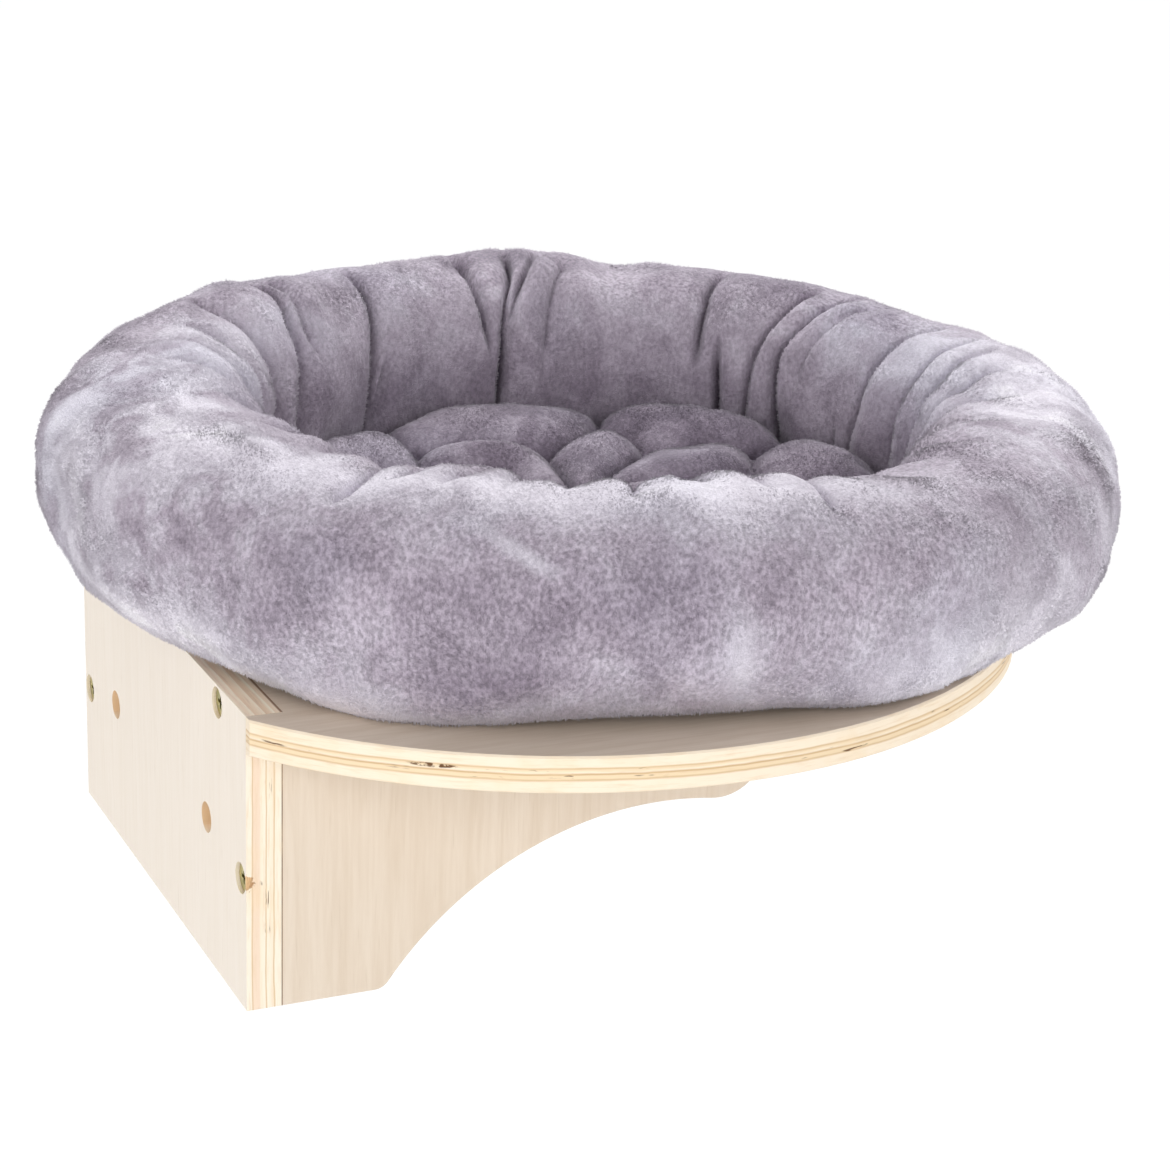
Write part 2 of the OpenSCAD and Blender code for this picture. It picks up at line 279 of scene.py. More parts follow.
# Colours of the plywood's edges across its thickness, with a dark line at the wall board's front face that is
# painted shade of the joints there
CREAM, WARM, LINE, DARK_LINE = rgb(242, 227, 205), rgb(234, 212, 178), rgb(212, 182, 142), rgb(202, 167, 122)
PALE_END, PINK_END, PAINTED_JOINT_SHADE = rgb(243, 232, 214), rgb(236, 214, 192), rgb(118, 94, 76)
SHELF_LAYERS = [
    (0.00, CREAM), (0.30, CREAM), (0.35, LINE), (0.39, WARM), (0.46, WARM), (0.50, DARK_LINE),
    (0.55, CREAM), (0.62, WARM), (0.66, LINE), (0.70, CREAM), (1.00, CREAM),
]
# The wall board's first layers, at its front face, are painted shade of the joints there
BOARD_LAYERS = [
    (0.00, PAINTED_JOINT_SHADE), (0.025, PAINTED_JOINT_SHADE), (0.035, PALE_END), (0.20, PALE_END), (0.23, LINE), (0.26, CREAM),
    (0.42, PALE_END), (0.45, LINE), (0.48, PALE_END), (0.60, CREAM), (0.64, PINK_END), (0.80, PINK_END),
    (0.83, LINE), (0.86, PALE_END), (1.00, PALE_END),
]
# Strips of end grain along the wall board's top, lightened throughout as painted light against the bed's
# shade, and dark at the front as painted shadow of the gap there
TOP_STRIPS = [
    (0.00, rgb(128, 100, 80)), (0.05, rgb(150, 120, 96)), (0.09, rgb(248, 232, 208)),
    (0.20, rgb(242, 222, 196)), (0.24, rgb(255, 248, 228)), (0.34, rgb(242, 220, 192)),
    (0.46, rgb(230, 204, 174)), (0.49, rgb(255, 244, 222)), (0.58, rgb(248, 230, 204)),
    (0.74, rgb(236, 210, 180)), (0.77, rgb(255, 244, 222)), (0.88, rgb(246, 226, 200)),
    (1.00, rgb(255, 242, 218)),
]
FIBRE_TONE, PATCH_TONE, VOID_TONE = rgba(216, 184, 140), rgba(236, 210, 172), rgba(104, 72, 44)
STRIP_TONE, BORE_TONE, PORE_TONE = rgba(196, 166, 142), rgba(233, 203, 164), rgba(186, 164, 138)
TORN_PALE, TORN_DEEP = rgba(226, 188, 140), rgba(160, 118, 82)
# Pale and deep tones of the faces and of the screws
BOARD_FACES = rgba(242, 232, 220), rgba(237, 226, 212)
# The shelf's tones are darker than the wall board's same veneer: painted shade of the bed above it
SHELF_FACES = rgba(224, 210, 193), rgba(209, 192, 172)
BRACKET_FACES = rgba(223, 209, 192), rgba(212, 195, 175)
BEECH_FACES = rgba(222, 190, 150), rgba(200, 160, 116)
ZINC_TONES = rgba(206, 194, 132), rgba(158, 158, 116)
# Noise scales: fibres across and along layers, grain across and along faces, gaps in the long void
FIBRE_ACROSS, FIBRE_ALONG = 900.0, 60.0
GRAIN_ACROSS, GRAIN_ALONG = 260.0, 16.0
GAP_SCALES = (420.0, 420.0, 900.0)
# Shares of those scales for short voids, broad figure and pores
SPECK_SHARE, BROAD_SHARE, PORE_SHARE = 0.9, 0.12, 3.0
GRAIN_DEPTH = 0.0005
# Chip in the wall board's edge: size, raggedness and height above the screw beside it
CHIP_SIZE, CHIP_RAGGED, CHIP_RISE = 0.0034, 0.0015, 0.0003
# Long void in the shelf's edge: half length, squeeze, and angle and height on the edge
VOID_SIZE, VOID_STRETCH = 0.011, (1.0, 1.0, 11.0)
VOID_ANGLE, VOID_HEIGHT_SHARE = 146.5, 0.62
# Places of the wall holes, and the radius round them in which bare wood shows warmer
WALL_HOLE_X, BORE_RADIUS = 0.0685, 0.0072
BOARD_WEAR_MM, SCREW_WEAR_MM = 0.5, 0.2
# Span of the dowels' layers, far larger than a dowel so that none show
DOWEL_SPAN = 1.0


def layer_depth(nodes, place, axis, low, thickness):
    """Share of a board's thickness at each place, slightly wavy between its faces."""
    along = nodes.add("ShaderNodeSeparateXYZ", {0: place}).outputs[axis]
    flat = nodes.math("DIVIDE", nodes.math("SUBTRACT", along, low), thickness)
    inside = nodes.product(nodes.span(flat, 0.05, 0.15), nodes.span(flat, 0.95, 0.85))
    wave = nodes.span(nodes.noise(place, 15.0, 4.0, 0.6), 0.3, 0.7, -0.035, 0.035)
    return nodes.math("ADD", flat, nodes.product(wave, inside))


def edge_layers(nodes, place, depth, fibre, scales, stops, void):
    """Colours of a board's sawn edges: streaked, patchy layers with dark voids in the inner ones."""
    patch = nodes.noise(place, 40.0, 3.0, 0.6)
    layers = nodes.mix(nodes.span(fibre, 0.5, 0.78, 0.0, 0.5), nodes.ramp(depth, stops), FIBRE_TONE)
    layers = nodes.mix(nodes.span(patch, 0.48, 0.7, 0.0, 0.4), layers, PATCH_TONE)
    inner = nodes.product(nodes.span(depth, 0.28, 0.33), nodes.span(depth, 0.72, 0.66))
    speck = nodes.noise(place, [SPECK_SHARE * scale for scale in scales], 3.0, 0.7)
    speck = nodes.product(nodes.span(speck, 0.6, 0.66), nodes.span(patch, 0.5, 0.56))
    dark = nodes.product(speck, inner)
    if void:
        gaps = nodes.span(nodes.noise(place, GAP_SCALES, 2.0, 0.6), 0.42, 0.54)
        near = nodes.span(nodes.distance(place, void, VOID_STRETCH), VOID_SIZE, VOID_SIZE * 0.7)
        dark = nodes.math("MAXIMUM", dark, nodes.product(gaps, near))
    return nodes.mix(dark, layers, VOID_TONE)


def face_grain(nodes, place, axis, pale, deep):
    """Colours of a board's faces with their grain along one axis, and the grain itself."""
    scales = [GRAIN_ALONG if name == axis else GRAIN_ACROSS for name in "XYZ"]
    grain = nodes.noise(place, scales, 5.0, 0.65, 0.3)
    broad = nodes.noise(place, [BROAD_SHARE * scale for scale in scales], 2.0)
    pores = nodes.noise(place, [PORE_SHARE * scale for scale in scales], 1.0)
    faces = nodes.mix(nodes.span(grain, 0.38, 0.68, 0.0, 0.75), pale, deep)
    faces = nodes.mix(nodes.span(broad, 0.4, 0.75, 0.0, 0.35), faces, deep)
    faces = nodes.mix(nodes.span(pores, 0.66, 0.8, 0.0, 0.22), faces, PORE_TONE)
    return faces, grain


def torn_chip(nodes, place, chip, fibre, colour):
    """The colour with a ragged chip of torn fibres in it."""
    ragged = nodes.span(nodes.noise(place, 500.0, 3.0, 0.7), 0.3, 0.7, -CHIP_RAGGED, CHIP_RAGGED)
    off = nodes.math("ADD", nodes.distance(place, chip), ragged)
    torn = nodes.mix(nodes.span(fibre, 0.45, 0.6), TORN_PALE, TORN_DEEP)
    return nodes.mix(nodes.span(off, CHIP_SIZE, CHIP_SIZE * 0.8), colour, torn)


def plywood(name, layer_axis, low, thickness, grain_axis, face_tones, stops=SHELF_LAYERS, top=None, chip=None,
            void=None, bores=()):
    """Plywood with its layers across layer_axis and the grain of its faces along grain_axis."""
    material, nodes, shader = new_material(name)
    place = nodes.place()
    geometry = nodes.add("ShaderNodeNewGeometry")
    normal = nodes.add("ShaderNodeSeparateXYZ", {0: geometry.outputs["True Normal"]})
    scales = [FIBRE_ACROSS if axis == layer_axis else FIBRE_ALONG for axis in "XYZ"]
    fibre = nodes.noise(place, scales, 4.0, 0.7)
    depth = layer_depth(nodes, place, layer_axis, low, thickness)
    layers = edge_layers(nodes, place, depth, fibre, scales, stops, void)
    for x, z in bores:
        off = nodes.distance(place, (x, 0, z), (1, 0, 1))
        layers = nodes.mix(nodes.span(off, BORE_RADIUS * 1.05, BORE_RADIUS), layers, BORE_TONE)
    if top:
        strips = nodes.mix(nodes.span(fibre, 0.5, 0.75, 0.0, 0.5), nodes.ramp(depth, top), STRIP_TONE)
        layers = nodes.mix(nodes.span(normal.outputs["Z"], 0.7, 0.95), layers, strips)
    faces, grain = face_grain(nodes, place, grain_axis, *face_tones)
    on_face = nodes.span(nodes.math("ABSOLUTE", normal.outputs[layer_axis]), 0.8, 0.9)
    colour = nodes.mix(on_face, layers, faces)
    if chip:
        colour = torn_chip(nodes, place, chip, fibre, colour)
    height = nodes.weighted((grain, 0.4), (fibre, 0.6))
    nodes.fill(shader, {"Base Color": colour, "Roughness": nodes.span(grain, 0.2, 0.8, 0.62, 0.78),
                        "Specular IOR Level": 0.3, "Normal": nodes.bump(height, 0.15, GRAIN_DEPTH)})
    return material


def zinc():
    """Yellowed zinc, slightly cloudy."""
    material, nodes, shader = new_material("zinc_screw")
    place = nodes.place()
    tone = nodes.mix(nodes.span(nodes.noise(place, 260.0, 3.0), 0.3, 0.7), *ZINC_TONES)
    rough = nodes.span(nodes.noise(place, 900.0, 2.0), 0.3, 0.7, 0.28, 0.46)
    nodes.fill(shader, {"Base Color": tone, "Roughness": rough, "Metallic": 1.0})
    return material


def dress_node(name, material, wear_mm=0.0):
    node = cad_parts[name]
    node.data.materials.clear()
    node.data.materials.append(material)
    if wear_mm:
        bevel = node.modifiers.new("worn_edges", "BEVEL")
        bevel.width = wear_mm * MM
        bevel.segments = 2
        bevel.limit_method = "ANGLE"
        bevel.harden_normals = False


def dress_wall_board():
    low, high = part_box("wall_board")
    screw_low, screw_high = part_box("bracket_screws")
    chip = (low.x, high.y, (screw_low.z + screw_high.z) / 2 + CHIP_RISE)
    bores = ((-WALL_HOLE_X, 0.0), (WALL_HOLE_X, 0.0))
    material = plywood("ply_wall_board", "Y", low.y, high.y - low.y, "Z", BOARD_FACES, BOARD_LAYERS,
                       TOP_STRIPS, chip, bores=bores)
    dress_node("wall_board", material, BOARD_WEAR_MM)


def dress_shelf():
    low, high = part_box("shelf_board")
    radius = (high.x - low.x) / 2
    thickness = high.z - low.z
    turn = math.radians(VOID_ANGLE)
    void = (radius * math.cos(turn), low.y + radius + radius * math.sin(turn),
            low.z + VOID_HEIGHT_SHARE * thickness)
    dress_node("shelf_board", plywood("ply_shelf", "Z", low.z, thickness, "Y", SHELF_FACES, void=void))


def dress_brackets():
    for side in ("left", "right"):
        low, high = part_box(side + "_bracket")
        material = plywood("ply_" + side, "X", low.x, high.x - low.x, "Z", BRACKET_FACES)
        dress_node(side + "_bracket", material, BOARD_WEAR_MM)


def dress_fasteners():
    screws = zinc()
    for name in ("shelf_screws", "bracket_screws"):
        dress_node(name, screws, SCREW_WEAR_MM)
    for name in ("shelf_dowels", "bracket_dowels"):
        dress_node(name, plywood("beech_" + name, "X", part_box(name)[0].x, DOWEL_SPAN, "Z", BEECH_FACES))


# Forms of the bed
# Angles are in degrees: t runs round the bed, with 0 at the +X end and 90 on the wall side, and g round the
# rim's tube, with 0 outside, 90 on the crest and 180 inside

SEED = 7
TINY = 1e-9
BED_LOW, BED_HIGH = (np.array(corner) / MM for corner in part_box("rim_cover"))
SHELF_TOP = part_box("shelf_board")[1].z / MM
BED_MIDDLE = np.array([(BED_LOW[0] + BED_HIGH[0]) / 2, (BED_LOW[1] + BED_HIGH[1]) / 2, SHELF_TOP])
HALF_WIDTH, HALF_DEPTH = (BED_HIGH - BED_LOW)[:2] / 2
PILE = 1.6

# The rim's tube: radius, squareness and flatness, underside, and widest level with its tilt
TUBE = 48.0
ROUND_POWER, FLAT_SHARE = 0.85, 1.06
RIM_BASE = 3.0
WAIST, WAIST_TILT = 52.0, 9.0
RIM_STATIONS, RIM_ROWS = 960, 100
TUBE_START, TUBE_END = -95, 265
# Closeness of the rows where the rim is folded, where it shows and elsewhere
FOLDED_ROWS, SHOWN_ROWS, HIDDEN_ROW_WEIGHT = (60, 215, 1.7), (-70, 235, 1.1), 0.5
# Height of the rim's crest above the shelf, by angle
CREST_KNOTS = [
    (0, 108.5), (6, 109), (13, 111), (20, 112), (25, 109), (30, 107.5), (40, 111), (49, 109.5), (59, 105.5),
    (74, 105), (90, 100.5), (105, 95.5), (125, 94), (150, 92), (170, 91.5), (187, 90.5), (205, 84.5),
    (218, 84.5), (236, 87.5), (261, 93.5), (273, 96), (287, 101), (296, 100), (304, 101.5), (311, 104),
    (321, 106), (326, 105.5), (330, 104.6), (334, 107), (341, 113.5), (345, 114.5), (349, 113.5), (355, 110),
]
# Sag of the rim's lower outside, by angle, and how it fades round the tube
SAG_KNOTS = [
    (0, 0), (70, 3), (95, 4.5), (108, 6), (112, 6), (117, 2), (121, 0), (125, -5), (129, -9), (140, -8),
    (145, -5), (150, -1), (160, 4), (173, 3), (179, 2), (187, -4), (206, -6.5), (212, -5), (217, -1),
    (224, 3.5), (230, 1),
]
SAG_REACH, SAG_POWER, SAG_EDGE_POWER = 95, 1.5, 0.3
# Lean of the rim's shoulder, by angle
SHOULDER_KNOTS = [(0, 0), (60, 1), (74, 2), (90, 0), (225, 0), (240, -3), (254, -3), (275, 0)]
KNOT_STEP, KNOT_SOFTENING, SHOULDER_SOFTENING = 0.5, 4.0, 12.0
# Lumps of the rim and of the floor: size, seed and wave lengths
RIM_LUMPS = [(1.6, SEED, (60, 130)), (0.5, SEED + 1, (18, 40))]
FLOOR_LUMPS = [(0.9, SEED + 2, (50, 110))]
# Where the rim is lumpy round the tube, and the taut place on its shoulder
LUMPY_PART = (-75, 40, 235, 30)
TAUT_PATCH, TAUT_SHARE = (234, 16, 45, 32), 0.65

# Gathered folds: angles at crest, middle and foot, depth, and start and end round the tube
FOLDS = [
    (20, 24, 28.5, 8.5, 80, 222), (18.5, 20.5, 27.5, 4.5, 150, 222), (-9, -5.5, -3.5, 9, 64, 222),
    (-13, -6.4, -4, 6.5, 66, 175), (-1.5, -1.7, -2, 7.5, 68, 172), (38, 46, 53, 8, 72, 222),
    (36, 42, 44, 4.5, 76, 165), (50, 55, 60, 6, 75, 215), (58, 64, 69, 4, 85, 190), (66, 74, 80, 6, 78, 215),
    (-19.5, -15, -12, 4, 78, 180), (-45, -46, -46, 7.5, 76, 172), (-50, -50, -51, 8.5, 140, 222),
    (-60, -57.5, -56, 7, 80, 222), (-65, -62, -63, 9, 76, 222), (-71, -67.5, -66.5, 3.6, 80, 174),
    (-80, -78, -76, 4.5, 165, 222), (-82, -82, -80.5, 8.5, 78, 222), (-90, -93.5, -94, 8, 74, 222),
    (-95.5, -101.5, -104, 7, 74, 222), (-102, -109, -111, 6, 76, 215), (-110, -116, -118, 4.5, 78, 205),
    (-125, -128, -126, 5, 82, 215), (-137, -138, -135, 4, 86, 215), (78, 83, 88, 3, 88, 190),
    (88, 92, 95, 6, 108, 215), (102, 103, 104, 5, 110, 215), (114, 113, 113, 4, 104, 215),
    (126, 123, 121, 7.5, 46, 215), (131, 132, 132, 3.5, 76, 215), (137.5, 139, 139, 4, 76, 215),
    (145, 146, 146, 3.5, 84, 200), (152, 151, 150, 3.2, 84, 215), (161, 163, 164, 4.5, 76, 215),
    (170, 170, 170, 3.5, 84, 200), (179, 177, 176, 4, 78, 215), (187.5, 193, 195, 6.5, 54, 215),
    (203, 205, 206, 4, 88, 215), (215, 217, 219, 4, 100, 215),
]
# Angles of a fold's outer start, crest, middle and foot, and how far it runs on past its crest
FOLD_ANGLES, FOLD_RUN_UP = (50, 100, 150, 195), 0.7
FOLD_FADE = 26.0
# Width of the rolls beside a fold, and how unlike its two sides are
FOLD_ROLL, FOLD_ROLL_PER_DEPTH, FOLD_LEAN = 9.0, 1.3, 0.3
# The narrow line in a fold: width, share of the depth, and depths over which it grows
LINE_WIDTH, LINE_SHARE, LINE_FROM, LINE_OVER = 2.8, 0.48, 3, 4
# The swell beside a fold: share of the depth, and spread as a share of the roll
SWELL_SHARE, SWELL_SPREAD_SHARE = 0.16, 0.7
FOLD_GAIN = 1.6

FLOOR_STATIONS, FLOOR_ROWS = 360, 64
FLOOR_HEIGHT, FLOOR_TILT = 52.0, 0.045
# Where the floor meets the rim: heights, gap, and stations over which its edge runs straight
FLOOR_MEETS, FLOOR_GAP, FLOOR_EDGE_SPAN = (18, 45), 0.8, 21
FLOOR_EDGE_POWER = 16
# The floor's first ring and its underside, as shares of the edge's radius, and the underside's drop
FIRST_RING_SHARE, UNDER_SHARE, UNDER_DROP = 0.012, 0.98, 0.4
# Floor puffs: 8 outer ones and 8 inner ones set between them, gathered by tufts
FLOOR_SPOKES = (31, 73, 115, 160, 205, 250, 288, 333)
SPOKE_SHARE, TUFT_SHARE, SPOKE_END_SHARE = 0.74, 0.55, 1.02
MIDDLE_TUFT = (4.0, -6.0)
TUFT_DEPTH, TUFT_SPREAD, TUFT_POWER = 18.0, 20.0, 1.6
CREASE_DEPTH, CREASE_SPREAD = 17.0, 44.0
CREASE_LINE_DEPTH, CREASE_LINE_POWER = 2.0, 6
# Wander of the creases from straight lines: reach, seeds, wave lengths, and fade at the edge
CREASE_WANDER, WANDER_SEEDS, WANDER_WAVES, WANDER_POWER = 5.0, (SEED + 5, SEED + 6), (45, 80), 4
# Power by which creases that meet blend
CREASE_BLEND = 4

# The cloth underneath: grid, first ring, gap above it, sag and thickness
BASE_STATIONS, BASE_RINGS, BASE_FIRST_SHARE = 180, 14, 0.02
BASE_GAP, BASE_SAG, BASE_THICKNESS = 0.4, 0.8, 0.8
BASE_SEED, BASE_WAVES = SEED + 20, (30, 80)


def stations(count):
    """Angles round the bed, evenly spaced."""
    return np.arange(count) * 360 / count


def softened(values, span):
    """Values round a closed ring, each averaged with its neighbours over a span."""
    kernel = np.hanning(span)
    looped = np.concatenate([values, values, values])
    return np.convolve(looped, kernel / kernel.sum(), mode="same")[len(values):-len(values)]


def around(knots, t, softening=KNOT_SOFTENING):
    """Value at angle t of a closed curve through the knots, with its corners softened."""
    dense = np.arange(0, 360, KNOT_STEP)
    values = np.interp(dense, *np.array(sorted(knots), float).T, period=360)
    return np.interp(t, dense, softened(values, int(2 * softening / KNOT_STEP) + 1), period=360)


def signed_power(v, e):
    return np.sign(v) * np.abs(v) ** e


def smooth_step(v):
    v = np.clip(v, 0, 1)
    return v * v * (3 - 2 * v)


def rise_from(value, start, over):
    """0 up to start, rising to 1 over the given span."""
    return smooth_step((value - start) / over)


def between(value, low, low_fade, high, high_fade):
    """1 between low and high, fading to 0 at both of them."""
    return smooth_step((value - low) / low_fade) * smooth_step((high - value) / high_fade)


def bump_at(value, middle, spread):
    return np.exp(-((value - middle) / spread) ** 2)


def patch_at(t, g, middle_t, spread_t, middle_g, spread_g):
    """A soft patch on the rim, by its middle and spread round the bed and round the tube."""
    off = (t - middle_t + 180) % 360 - 180
    return bump_at(off, 0, spread_t) * bump_at(g, middle_g, spread_g)


def unit(vectors):
    return vectors / np.maximum(np.linalg.norm(vectors, axis=-1, keepdims=True), TINY)


class Ripples:
    """A smooth random field of about unit size, made of waves of the given lengths."""

    def __init__(self, seed, lengths, count=24):
        rng = np.random.default_rng(seed)
        ways = rng.normal(size=(count, 3))
        ways /= np.linalg.norm(ways, axis=1, keepdims=True)
        self.waves = ways * (2 * np.pi / rng.uniform(*lengths, count))[:, None]
        self.phases = rng.uniform(0, 2 * np.pi, count)

    def __call__(self, points):
        total = np.zeros(points.shape[:-1])
        for wave, phase in zip(self.waves, self.phases):
            total += np.cos(points @ wave + phase)
        return total * math.sqrt(2 / len(self.phases))


def ripples(points, layers):
    """Sum of random fields by size, seed and wave lengths."""
    return sum(size * Ripples(seed, lengths)(points) for size, seed, lengths in layers)


def ring_radius(t):
    mean = (HALF_WIDTH + HALF_DEPTH) / 2 - TUBE
    stretch = (HALF_DEPTH - HALF_WIDTH) / 2
    return mean - stretch * np.cos(np.radians(2 * t))


def plain_rim(t, g):
    """Points of the rim before its folds."""
    turn, lift = np.radians(t), np.sin(np.radians(g))
    waist = WAIST + WAIST_TILT * np.sin(turn)
    rise = signed_power(lift, ROUND_POWER)
    up = (around(CREST_KNOTS, t) - PILE - waist) * rise
    down = (waist - RIM_BASE) * np.maximum(-1, FLAT_SHARE * rise)
    outside = np.clip(np.cos(np.radians(g)), 0, 1)
    sagging = np.sin(np.pi * np.clip(-g / SAG_REACH, 0, 1)) ** SAG_POWER * outside ** SAG_EDGE_POWER
    sag = around(SAG_KNOTS, t) * sagging
    r = ring_radius(t) + (TUBE - PILE) * signed_power(np.cos(np.radians(g)), ROUND_POWER)
    r = r + around(SHOULDER_KNOTS, t, SHOULDER_SOFTENING) * np.sin(np.pi * np.clip(g / 90, 0, 1)) ** 2
    return np.stack([r * np.cos(turn), r * np.sin(turn), waist + np.where(rise > 0, up, down) + sag], -1)


def rim_frames(points):
    """Unit normals of the rim's grid, and unit ways round its tube."""
    along = np.roll(points, -1, 0) - np.roll(points, 1, 0)
    across = np.roll(points, -1, 1) - np.roll(points, 1, 1)
    return unit(np.cross(along, across)), unit(across)


def fold_depths(t, g):
    """How far the folds draw the rim in: round rolls that meet in narrow lines."""
    creases = np.zeros_like(t)
    swells = np.zeros_like(t)
    radius = ring_radius(t) + TUBE * np.cos(np.radians(g))
    for crest, middle, foot, depth, start, end in FOLDS:
        path = np.interp(g, FOLD_ANGLES, (crest - FOLD_RUN_UP * (middle - crest), crest, middle, foot))
        off = (t - path + 180) % 360 - 180
        across = np.radians(off) * radius
        roll = (FOLD_ROLL + FOLD_ROLL_PER_DEPTH * depth) * np.where(across > 0, 1 + FOLD_LEAN, 1 - FOLD_LEAN)
        reach = between(g, start, FOLD_FADE, end, FOLD_FADE)
        near = np.clip(1 - np.abs(across) / roll, 0, 1)
        line = np.clip(1 - np.abs(across) / LINE_WIDTH, 0, 1)
        line_share = LINE_SHARE * min(1.0, max(0.0, depth - LINE_FROM) / LINE_OVER)
        valley = (1 - line_share) * (1 - np.sqrt(1 - near ** 2)) + line_share * line
        swell = bump_at(across, -roll, SWELL_SPREAD_SHARE * roll)
        creases = np.maximum(creases, depth * reach * valley)
        swells = np.maximum(swells, SWELL_SHARE * depth * reach * swell)
    return FOLD_GAIN * (creases - swells)


def rim_rows():
    """Angles round the tube, closest together on the folded inner wall."""
    fine = np.linspace(TUBE_START, TUBE_END, 721)
    weight = np.full_like(fine, HIDDEN_ROW_WEIGHT)
    for start, end, rows_weight in (SHOWN_ROWS, FOLDED_ROWS):
        weight[(fine > start) & (fine < end)] = rows_weight
    total = np.concatenate([[0], np.cumsum((weight[1:] + weight[:-1]) / 2)])
    return np.interp(np.arange(RIM_ROWS) / RIM_ROWS * total[-1], total, fine)


def rim_grid():
    """Points of the rim, station by station, and their angles."""
    t, g = np.meshgrid(stations(RIM_STATIONS), rim_rows(), indexing="ij")
    points = plain_rim(t, g)
    normals = rim_frames(points)[0]
    free = between(g, *LUMPY_PART) * (1 - TAUT_SHARE * patch_at(t, g, *TAUT_PATCH))
    return points + normals * (free * ripples(points, RIM_LUMPS) - fold_depths(t, g))[..., None], t, g


def grid_quads(m, n, closed=False):
    """Quads of m rings of n points, with the last ring joined to the first if closed."""
    i, j = np.meshgrid(np.arange(m if closed else m - 1), np.arange(n), indexing="ij")
    i2, j2 = (i + 1) % m, (j + 1) % n
    return np.stack([i * n + j, i2 * n + j, i2 * n + j2, i * n + j2], -1).reshape(-1, 4)


def fan(middle, ring):
    """Triangles from a middle point to a ring."""
    return np.stack([np.full(len(ring), middle), ring, np.roll(ring, -1)], -1)


def new_object(name, points, *faces):
    """A smooth mesh object of points in millimetres from the bed's middle, with groups of faces."""
    corners = np.concatenate([group.ravel() for group in faces])
    sizes = np.concatenate([np.full(len(group), group.shape[1]) for group in faces])
    mesh = bpy.data.meshes.new(name)
    mesh.vertices.add(len(points))
    mesh.vertices.foreach_set("co", ((points + BED_MIDDLE) * MM).astype(np.float32).ravel())
    mesh.loops.add(len(corners))
    mesh.loops.foreach_set("vertex_index", corners.astype(np.int32))
    mesh.polygons.add(len(sizes))
    mesh.polygons.foreach_set("loop_start", (np.cumsum(sizes) - sizes).astype(np.int32))
    mesh.update(calc_edges=True)
    mesh.shade_smooth()
    return link_object(name, mesh)


def segment_distance(p, a, b):
    way = b - a
    share = np.clip(((p - a) @ way) / (way @ way), 0, 1)
    return np.linalg.norm(p - a - share[..., None] * way, axis=-1)


def floor_edge(rim, t):
    """Radius at which the floor meets the rim's inner wall, by angle."""
    radius = np.linalg.norm(rim[..., :2], axis=-1)
    low, high = FLOOR_MEETS
    meets = (rim[..., 2] > low) & (rim[..., 2] < high) & (radius < ring_radius(t))
    inner = np.where(meets, radius, np.inf).min(1) - FLOOR_GAP
    inner = np.interp(stations(FLOOR_STATIONS), t[:, 0], inner, period=360)
    return np.minimum(inner, softened(inner, FLOOR_EDGE_SPAN))


def floor_creases(turn, edge):
    """Straight creases between the floor's puffs, and the tufts where they meet."""
    def spot(angle, share):
        way = math.radians(angle % 360)
        radius = share * np.interp(way, turn, edge, period=math.tau)
        return radius * np.array([math.cos(way), math.sin(way)])

    middle = np.array(MIDDLE_TUFT)
    lines, tufts = [], [middle]
    for angle, after in zip(FLOOR_SPOKES, FLOOR_SPOKES[1:] + FLOOR_SPOKES[:1]):
        fork, next_fork = spot(angle, SPOKE_SHARE), spot(after, SPOKE_SHARE)
        tuft = spot(angle + (after - angle) % 360 / 2, TUFT_SHARE)
        lines += [(spot(angle, SPOKE_END_SHARE), fork), (fork, tuft), (next_fork, tuft), (tuft, middle)]
        tufts += [tuft, fork]
    return lines, tufts


def floor_pull(flat, lines, tufts):
    """How far the creases and tufts pull the floor down."""
    pull = np.zeros(flat.shape[:-1])
    for start, end in lines:
        near = np.clip(1 - segment_distance(flat, start, end) / CREASE_SPREAD, 0, 1)
        valley = CREASE_DEPTH * (1 - np.sqrt(1 - near ** 2)) + CREASE_LINE_DEPTH * near ** CREASE_LINE_POWER
        pull += valley ** CREASE_BLEND
    for tuft in tufts:
        near = np.clip(1 - np.linalg.norm(flat - tuft, axis=-1) / TUFT_SPREAD, 0, 1)
        pull += (TUFT_DEPTH * near ** TUFT_POWER) ** CREASE_BLEND
    return pull ** (1 / CREASE_BLEND)


def floor_grid(rim, rim_t):
    """Points of the floor's top, ring by ring from its middle."""
    turn = np.radians(stations(FLOOR_STATIONS))
    edge = floor_edge(rim, rim_t)
    q, a = np.meshgrid(np.linspace(FIRST_RING_SHARE, 1, FLOOR_ROWS), turn, indexing="ij")
    r = q * edge[None, :]
    flat = np.stack([r * np.cos(a), r * np.sin(a)], -1)
    place = np.concatenate([flat, np.zeros_like(q)[..., None]], -1)
    wander = np.stack([Ripples(seed, WANDER_WAVES)(place) for seed in WANDER_SEEDS], -1)
    wandered = flat + CREASE_WANDER * (1 - q ** WANDER_POWER)[..., None] * wander
    pull = floor_pull(wandered, *floor_creases(turn, edge))
    crown = np.sqrt(np.clip(1 - q ** FLOOR_EDGE_POWER, 0, 1))
    top = FLOOR_HEIGHT + FLOOR_TILT * flat[..., 0] - PILE - RIM_BASE - pull + ripples(place, FLOOR_LUMPS)
    return np.concatenate([flat, (RIM_BASE + crown * top)[..., None]], -1)


